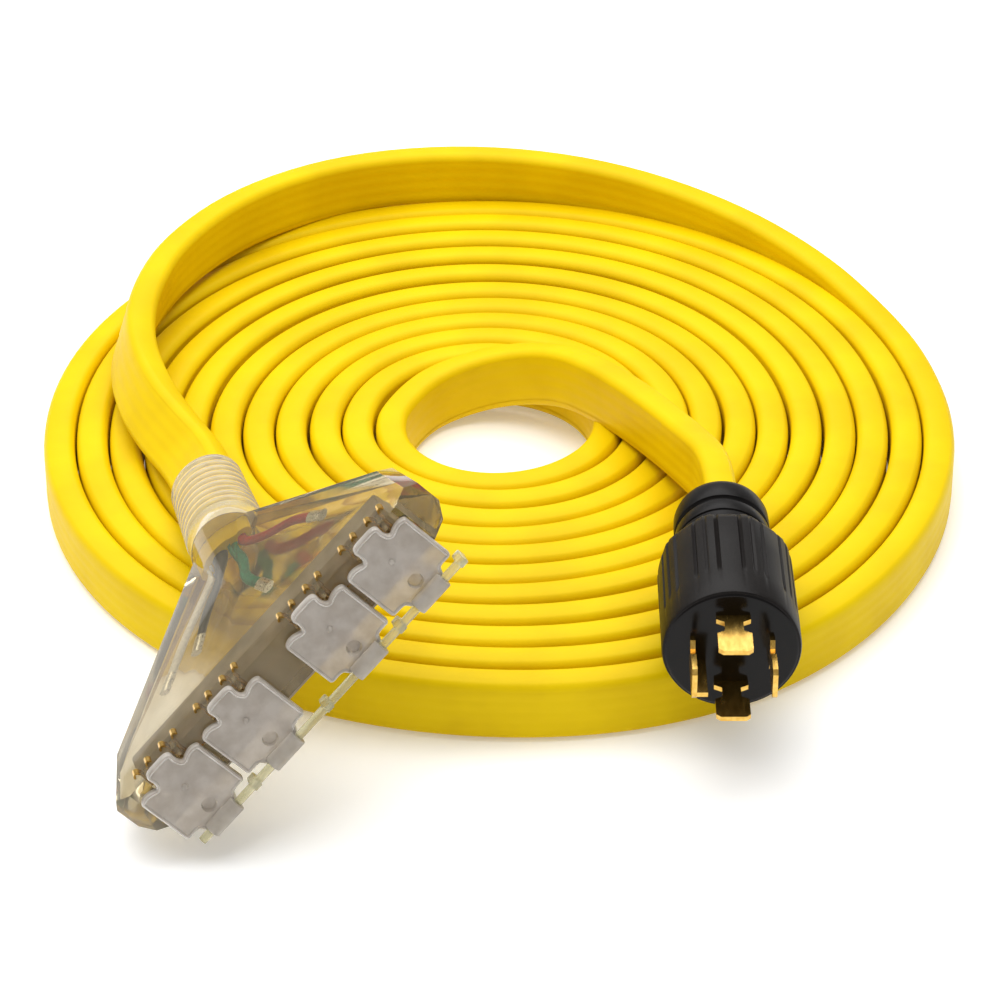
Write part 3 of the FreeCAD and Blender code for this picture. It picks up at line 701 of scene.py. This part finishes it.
def cover_outline(name):
    """Closed smooth outline of a cover in its own plane: a lobe above, ears, and a hinge tab below."""
    half = [(0.0, 10.9), (4.4, 10.9), (5.9, 9.4), (5.3, 6.9), (6.3, 4.2), (8.4, 5.4), (11.6, 5.9),
            (13.9, 4.9), (14.0, 3.6), (14.0, 3.4), (14.0, -14.6), (14.0, -15.2), (13.2, -15.9),
            (12.8, -15.9), (9.2, -15.9), (8.4, -16.4), (7.6, -18.2), (6.6, -18.9), (6.5, -19.6),
            (6.5, -20.4), (0.0, -20.4)]
    points = half + [(-y, z) for y, z in reversed(half[1:-1])]
    curve = bpy.data.curves.new(name, "CURVE")
    spline = curve.splines.new("NURBS")
    spline.points.add(len(points) - 1)
    for point, (y, z) in zip(spline.points, points):
        point.co = (y * MM, z * MM, 0, 1)
    spline.order_u = 3
    spline.use_cyclic_u = True
    curve.resolution_u = 4
    return curve


def curve_mesh(curve):
    line = bpy.data.objects.new("working", curve)
    bpy.context.scene.collection.objects.link(line)
    mesh = bpy.data.meshes.new_from_object(line.evaluated_get(bpy.context.evaluated_depsgraph_get()))
    bpy.data.objects.remove(line)
    return mesh


def cover_mesh(thickness):
    """One cover about the row's middle: plate with rolled edges, raised lip, dimple and hinge knuckle."""
    roll = 0.00035
    plate = cover_outline("cover_plate")
    plate.dimensions = "2D"
    plate.fill_mode = "BOTH"
    plate.offset = -roll
    plate.bevel_depth = roll
    plate.bevel_resolution = 2
    plate.extrude = thickness / 2 - roll
    lip = cover_outline("cover_lip")
    lip.dimensions = "3D"
    lip.offset = -0.0007
    lip.bevel_depth = 0.00065
    lip.bevel_resolution = 3
    flat_to_face = Matrix(((0, 0, 1, 0), (1, 0, 0, 0), (0, 1, 0, 0), (0, 0, 0, 1)))
    lip_sunk = 0.0003
    middle = Matrix.Translation(((COVER_BACK * MM + thickness / 2), 0, 0)) @ flat_to_face
    front = Matrix.Translation((COVER_BACK * MM + thickness - lip_sunk, 0, 0)) @ flat_to_face
    shape = bmesh.new()
    shape.from_mesh(curve_mesh(plate))
    plate_mesh = mesh_of(shape, "plate", middle)
    fittings = bmesh.new()
    knuckle_half, knuckle_radius = 6.4, 3.0
    rod(fittings, Vector((HINGE_X, -knuckle_half, HINGE_Z)) * MM,
        Vector((HINGE_X, knuckle_half, HINGE_Z)) * MM, knuckle_radius * MM)
    solid = combined(plate_mesh, rounded(mesh_of(fittings, "knuckle"), 0.4), "UNION")
    dimple = bmesh.new()
    dimple_z = -12.9
    rod(dimple, Vector((98.7, 0, dimple_z)) * MM, Vector((103, 0, dimple_z)) * MM, 2.3 * MM, 3.6 * MM)
    solid = combined(solid, mesh_of(dimple, "dimple"), "DIFFERENCE")
    shape = bmesh.new()
    shape.from_mesh(solid)
    edge = bmesh.new()
    edge.from_mesh(curve_mesh(lip))
    bmesh.ops.transform(edge, matrix=front, verts=edge.verts)
    bmesh.ops.create_icosphere(edge, subdivisions=3, radius=0.0011,
                               matrix=Matrix.Translation(Vector((97.9 + thickness / MM, 0, -2.0)) * MM))
    lip_mesh = mesh_of(edge, "lip")
    # The lip tube and the small bead take the second material, whose pale colour is a painted highlight
    # along the rim.
    plain = len(shape.faces)
    shape.from_mesh(lip_mesh)
    shape.faces.ensure_lookup_table()
    for face in shape.faces:
        face.material_index = 0 if face.index < plain else 1
    result = bpy.data.meshes.new("cover")
    shape.to_mesh(result)
    shape.free()
    return result


class SHORECORD_OT_covers(bpy.types.Operator):
    """Four frosted outlet covers on their hinges"""
    bl_idname = "shorecord.covers"
    bl_label = "Outlet covers"

    def execute(self, context):
        settings = context.scene.shorecord_connector
        pattern = cover_mesh(settings.cover_thickness)
        for number, (node, y) in enumerate(zip(COVERS, settings.outlets), start=1):
            mesh = pattern.copy()
            mesh.transform(CONNECTOR @ Matrix.Translation((0, y * MM, 0)))
            # The second material is the rim's painted highlight.
            cover = shown(mesh, f"cover_{number}", finish(frosted_pvc), f"cover_{number}", 40,
                          finish(cover_rim_highlight_pvc))
            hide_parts(node)
        return {"FINISHED"}


def spring_clip(shape, x, y, z):
    """A bent-sheet blade clip: two leaves that flare into rolled tops either side of the blade."""
    half, gap, flare, curl = 1.7, 1.1, 0.5, 1.3
    for side in (1, -1):
        line = [shape.verts.new(Vector((x + end, y + side * gap, z - 7.0)) * MM) for end in (-half, half)]
        strip = [shape.edges.new(line)]
        for dy, dz in ((0.0, 8.0), (flare, 1.4)):
            grown = bmesh.ops.extrude_edge_only(shape, edges=strip)["geom"]
            strip = [g for g in grown if isinstance(g, bmesh.types.BMEdge)]
            bmesh.ops.translate(shape, vec=Vector((0, side * dy, dz)) * MM,
                                verts=[g for g in grown if isinstance(g, bmesh.types.BMVert)])
        ends = list(strip[0].verts)
        middle = Vector((x, y + side * (gap + flare + curl), z + 2.4)) * MM
        bmesh.ops.spin(shape, geom=ends + strip, cent=middle, axis=(-side, 0, 0), dvec=(0, 0, 0),
                       angle=math.radians(200), steps=9)


class SHORECORD_OT_contacts(bpy.types.Operator):
    """Spring clips, bus strips with earth sleeves, the cloudy carrier, the cores and their crimps"""
    bl_idname = "shorecord.contacts"
    bl_label = "Contacts and cores"

    def execute(self, context):
        settings = context.scene.shorecord_connector
        clip_x, clip_z, sheet = 89.6, 6.6, 0.6
        clips = bmesh.new()
        for y in settings.outlets:
            for side in (SLOT_OFFSET, -SLOT_OFFSET):
                spring_clip(clips, clip_x, y + side, clip_z)
        bmesh.ops.recalc_face_normals(clips, faces=clips.faces)
        bmesh.ops.solidify(clips, geom=clips.faces[:], thickness=sheet * MM)
        contacts = shown(mesh_of(clips, "clips", CONNECTOR), "spring_clips", finish(rolled_brass))
        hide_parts("hot_bus_x", "hot_bus_y", "neutral_bus")
        strips = bmesh.new()
        # Two live strips, the neutral one and the earth one.
        for low, high in (((84.2, -58.0, -1.6), (87.0, -13.4, -0.9)),
                          ((84.2, 13.4, -1.6), (87.0, 58.0, -0.9)),
                          ((78.4, -60.0, -1.6), (81.0, 46.0, -0.9)),
                          ((80.0, -52.5, -14.4), (83.4, 52.5, -13.7))):
            block(strips, Vector(low) * MM, Vector(high) * MM)
        for y in settings.outlets:
            rod(strips, Vector((80.5, y, EARTH_Z)) * MM, Vector((92.0, y, EARTH_Z)) * MM, 3.3 * MM)
        mesh = rounded(mesh_of(strips, "strips", CONNECTOR), 0.25)
        sleeves = shown(mesh, "bus_strips", finish(rolled_brass))
        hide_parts("ground_bus")
        paint("core_crimps", finish(tinned_copper))
        wall = bmesh.new()
        block(wall, Vector((76.0, -60.0, -15.2)) * MM, Vector((86.6, 60.0, 8.4)) * MM)
        mesh = rounded(mesh_of(wall, "wall", CONNECTOR), 1.2)
        carrier = shown(mesh, "contact_carrier", finish(milky_pvc))
        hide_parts("contact_tray")
        paint("jacket_end", finish(extruded_yellow_pvc))
        paint_cores("")
        return {"FINISHED"}


class SHORECORD_OT_hinge(bpy.types.Operator):
    """The hinge rod and the arms that carry it"""
    bl_idname = "shorecord.hinge"
    bl_label = "Hinge strip"

    def execute(self, context):
        # Known fault: these two strips overlap each other, so the first union returns an empty mesh,
        # and both strips and the first arm are lost.
        strip = bmesh.new()
        block(strip, Vector((95.1, -60.0, -24.6)) * MM, Vector((97.1, 70.0, -17.6)) * MM)
        block(strip, Vector((82.0, -60.0, -19.4)) * MM, Vector((96.5, 66.0, -17.2)) * MM)
        solid = rounded(mesh_of(strip, "strip"), 0.5)
        arm_half = 1.6
        for y in (-60.5, -35.5, 0.0, 35.5, 65.0):
            arm = bmesh.new()
            block(arm, Vector((96.0, y - arm_half, -21.3)) * MM, Vector((102.2, y + arm_half, -17.9)) * MM)
            solid = combined(solid, rounded(mesh_of(arm, "arm"), 0.5), "UNION")
        pin = bmesh.new()
        rod(pin, Vector((HINGE_X, -61.5, HINGE_Z)) * MM, Vector((HINGE_X, 66.5, HINGE_Z)) * MM, 1.5 * MM)
        solid = combined(solid, mesh_of(pin, "pin"), "UNION")
        solid.transform(CONNECTOR)
        hinge = shown(solid, "hinge_strip", finish(pale_hinge_pvc))
        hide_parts("cover_hinge_bar")
        paint("hinge_bar_studs", finish(frosted_pvc))
        return {"FINISHED"}


def paint_cores(prefix):
    tones = {"red": ("#8A130A", "#AE2414"), "green": ("#076650", "#138A70"),
             "black": ("#141211", "#2A2724"), "white": ("#D9D5C9", "#F0EDE3")}
    for name, (dark, light) in tones.items():
        paint(prefix + "core_" + name, finish(core_insulation, name, dark, light))


# ---- plug -------------------------------------------------------------------

class SHORECORD_OT_plug_shell(bpy.types.Operator):
    """The faceted, grooved grip of the plug"""
    bl_idname = "shorecord.plug_shell"
    bl_label = "Plug shell"

    def execute(self, context):
        settings = context.scene.shorecord_plug
        big, facets = settings.radius, settings.facets
        sector = math.tau / facets
        # Angle from a facet's middle and share of the depth of each groove, and a groove's half width.
        grooves, groove_half = ((math.radians(10), 1.0), (math.radians(20), 0.55)), math.radians(1.7)
        # station, radius, how flat the facets are, how deep the grooves are
        stations = [(27.0, 17.0, 1.0, 0.0), (27.3, big - 4.6, 1.0, 0.0), (28.4, big - 3.9, 1.0, 0.2),
                    (31.5, big - 1.9, 0.9, 1.0), (34.6, big - 0.4, 0.6, 1.0), (37.0, big, 0.35, 1.0),
                    (50.0, big, 0.2, 1.0), (66.5, big, 0.06, 1.0), (69.0, big, 0.0, 0.55),
                    (70.6, big, 0.0, 0.0), (81.6, big, 0.0, 0.0), (82.6, big - 0.35, 0.0, 0.0),
                    (83.0, big - 1.1, 0.0, 0.0), (83.0, big - 1.6, 0.0, 0.0)]
        shape = bmesh.new()
        ring = bmesh.ops.create_circle(shape, cap_ends=True, segments=360, radius=1.0,
                                       matrix=Matrix.Rotation(math.radians(90), 4, "Y"))["verts"]
        edges = list({e for v in ring for e in v.link_edges})
        rings = [ring]
        for _ in stations[1:]:
            grown = bmesh.ops.extrude_edge_only(shape, edges=edges)["geom"]
            edges = [g for g in grown if isinstance(g, bmesh.types.BMEdge)]
            rings.append([g for g in grown if isinstance(g, bmesh.types.BMVert)])
        bmesh.ops.contextual_create(shape, geom=edges)
        for verts, (x, radius, flatness, depth) in zip(rings, stations):
            for vertex in verts:
                turn = math.atan2(vertex.co.y, vertex.co.z)
                from_middle = (turn + sector / 2) % sector - sector / 2
                flat = math.cos(sector / 2) / math.cos(from_middle) * 1.02
                reach = radius * (1 - flatness + flatness * min(1.0, flat))
                for line, share in grooves:
                    away = abs(abs(from_middle) - line) / groove_half
                    if away < 1:
                        reach -= settings.groove * share * depth * (1 - away * away)
                vertex.co = Vector((x, reach * math.sin(turn), reach * math.cos(turn))) * MM
        shell = shown(mesh_of(shape, "plug_grip", PLUG), "plug_grip", finish(moulded_black_nylon),
                      crease=30)
        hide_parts("plug_body")
        return {"FINISHED"}


class SHORECORD_OT_plug_neck(bpy.types.Operator):
    """The domed vinyl neck with its ring groove"""
    bl_idname = "shorecord.plug_neck"
    bl_label = "Plug neck"

    def execute(self, context):
        profile = [(0.0, 0.0), (0.0, 12.6), (0.25, 13.4), (1.1, 14.9), (2.6, 16.0), (5.0, 16.7), (8.0, 16.8),
                   (12.0, 16.8), (12.5, 16.6), (12.8, 15.6), (13.4, 15.2), (14.6, 15.2), (15.2, 15.6),
                   (15.5, 16.6), (16.0, 16.8), (20.5, 16.8), (21.0, 16.6), (21.2, 16.0), (21.8, 15.7),
                   (22.6, 16.2), (23.0, 17.0), (28.0, 17.0), (28.0, 0.0)]
        shape = spun([(x * MM, radius * MM) for x, radius in profile], 96)
        neck = shown(mesh_of(shape, "plug_collar", PLUG), "plug_collar", finish(black_vinyl),
                     crease=45)
        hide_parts("plug_neck")
        return {"FINISHED"}


class SHORECORD_OT_plug_face(bpy.types.Operator):
    """The polished face insert, the blades and what the plug holds inside"""
    bl_idname = "shorecord.plug_face"
    bl_label = "Plug face and blades"

    def execute(self, context):
        profile = [(76.0, 0.0), (76.0, 22.6), (82.8, 22.6), (83.25, 22.2), (83.4, 21.4), (83.4, 0.0)]
        shape = spun([(x * MM, radius * MM) for x, radius in profile], 96)
        face = shown(mesh_of(shape, "plug_insert", PLUG), "plug_insert", finish(polished_black_phenolic),
                     crease=40)
        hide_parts("plug_face")
        for name in ("hot_x", "hot_y", "ground", "neutral"):
            paint("plug_blade_" + name, finish(rolled_brass))
        paint("plug_jacket_end", finish(extruded_yellow_pvc))
        paint("plug_crimps", finish(tinned_copper))
        paint_cores("plug_")
        return {"FINISHED"}


class SHORECORD_OT_free_cord(bpy.types.Operator):
    bl_idname = "shorecord.free_cord"
    bl_label = "Free cord"

    def execute(self, context):
        on_it = [bpy.data.objects[name] for name in ("plug_grip", "plug_collar", "plug_insert")]
        on_it += [piece for node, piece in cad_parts.items()
                  if node.startswith("plug_") and not piece.hide_render]
        return {"FINISHED"}


class SHORECORD_PT_panel(bpy.types.Panel):
    """Lists the steps in the order they are run"""
    bl_label = "Power cord"
    bl_idname = "SHORECORD_PT_panel"
    bl_space_type = "VIEW_3D"
    bl_region_type = "UI"
    bl_category = "Power cord"

    def draw(self, context):
        for step in STEPS:
            self.layout.operator(step.bl_idname)


STEPS = (SHORECORD_OT_stage, SHORECORD_OT_cable, SHORECORD_OT_connector, SHORECORD_OT_relief,
         SHORECORD_OT_covers, SHORECORD_OT_hinge, SHORECORD_OT_contacts, SHORECORD_OT_plug_shell,
         SHORECORD_OT_plug_neck, SHORECORD_OT_plug_face, SHORECORD_OT_free_cord)
SETTINGS = {"shorecord_cable": CableSettings, "shorecord_connector": ConnectorSettings,
            "shorecord_plug": PlugSettings, "shorecord_stage": StageSettings}


def register():
    for group in list(SETTINGS.values()) + list(STEPS) + [SHORECORD_PT_panel]:
        bpy.utils.register_class(group)
    for name, group in SETTINGS.items():
        setattr(bpy.types.Scene, name, bpy.props.PointerProperty(type=group))


def unregister():
    for name in SETTINGS:
        delattr(bpy.types.Scene, name)
    for group in [SHORECORD_PT_panel] + list(reversed(STEPS)) + list(SETTINGS.values()):
        bpy.utils.unregister_class(group)


def main():
    register()
    for step in STEPS:
        group, name = step.bl_idname.split(".")
        getattr(getattr(bpy.ops, group), name)()


if __name__ == "__main__":
    main()
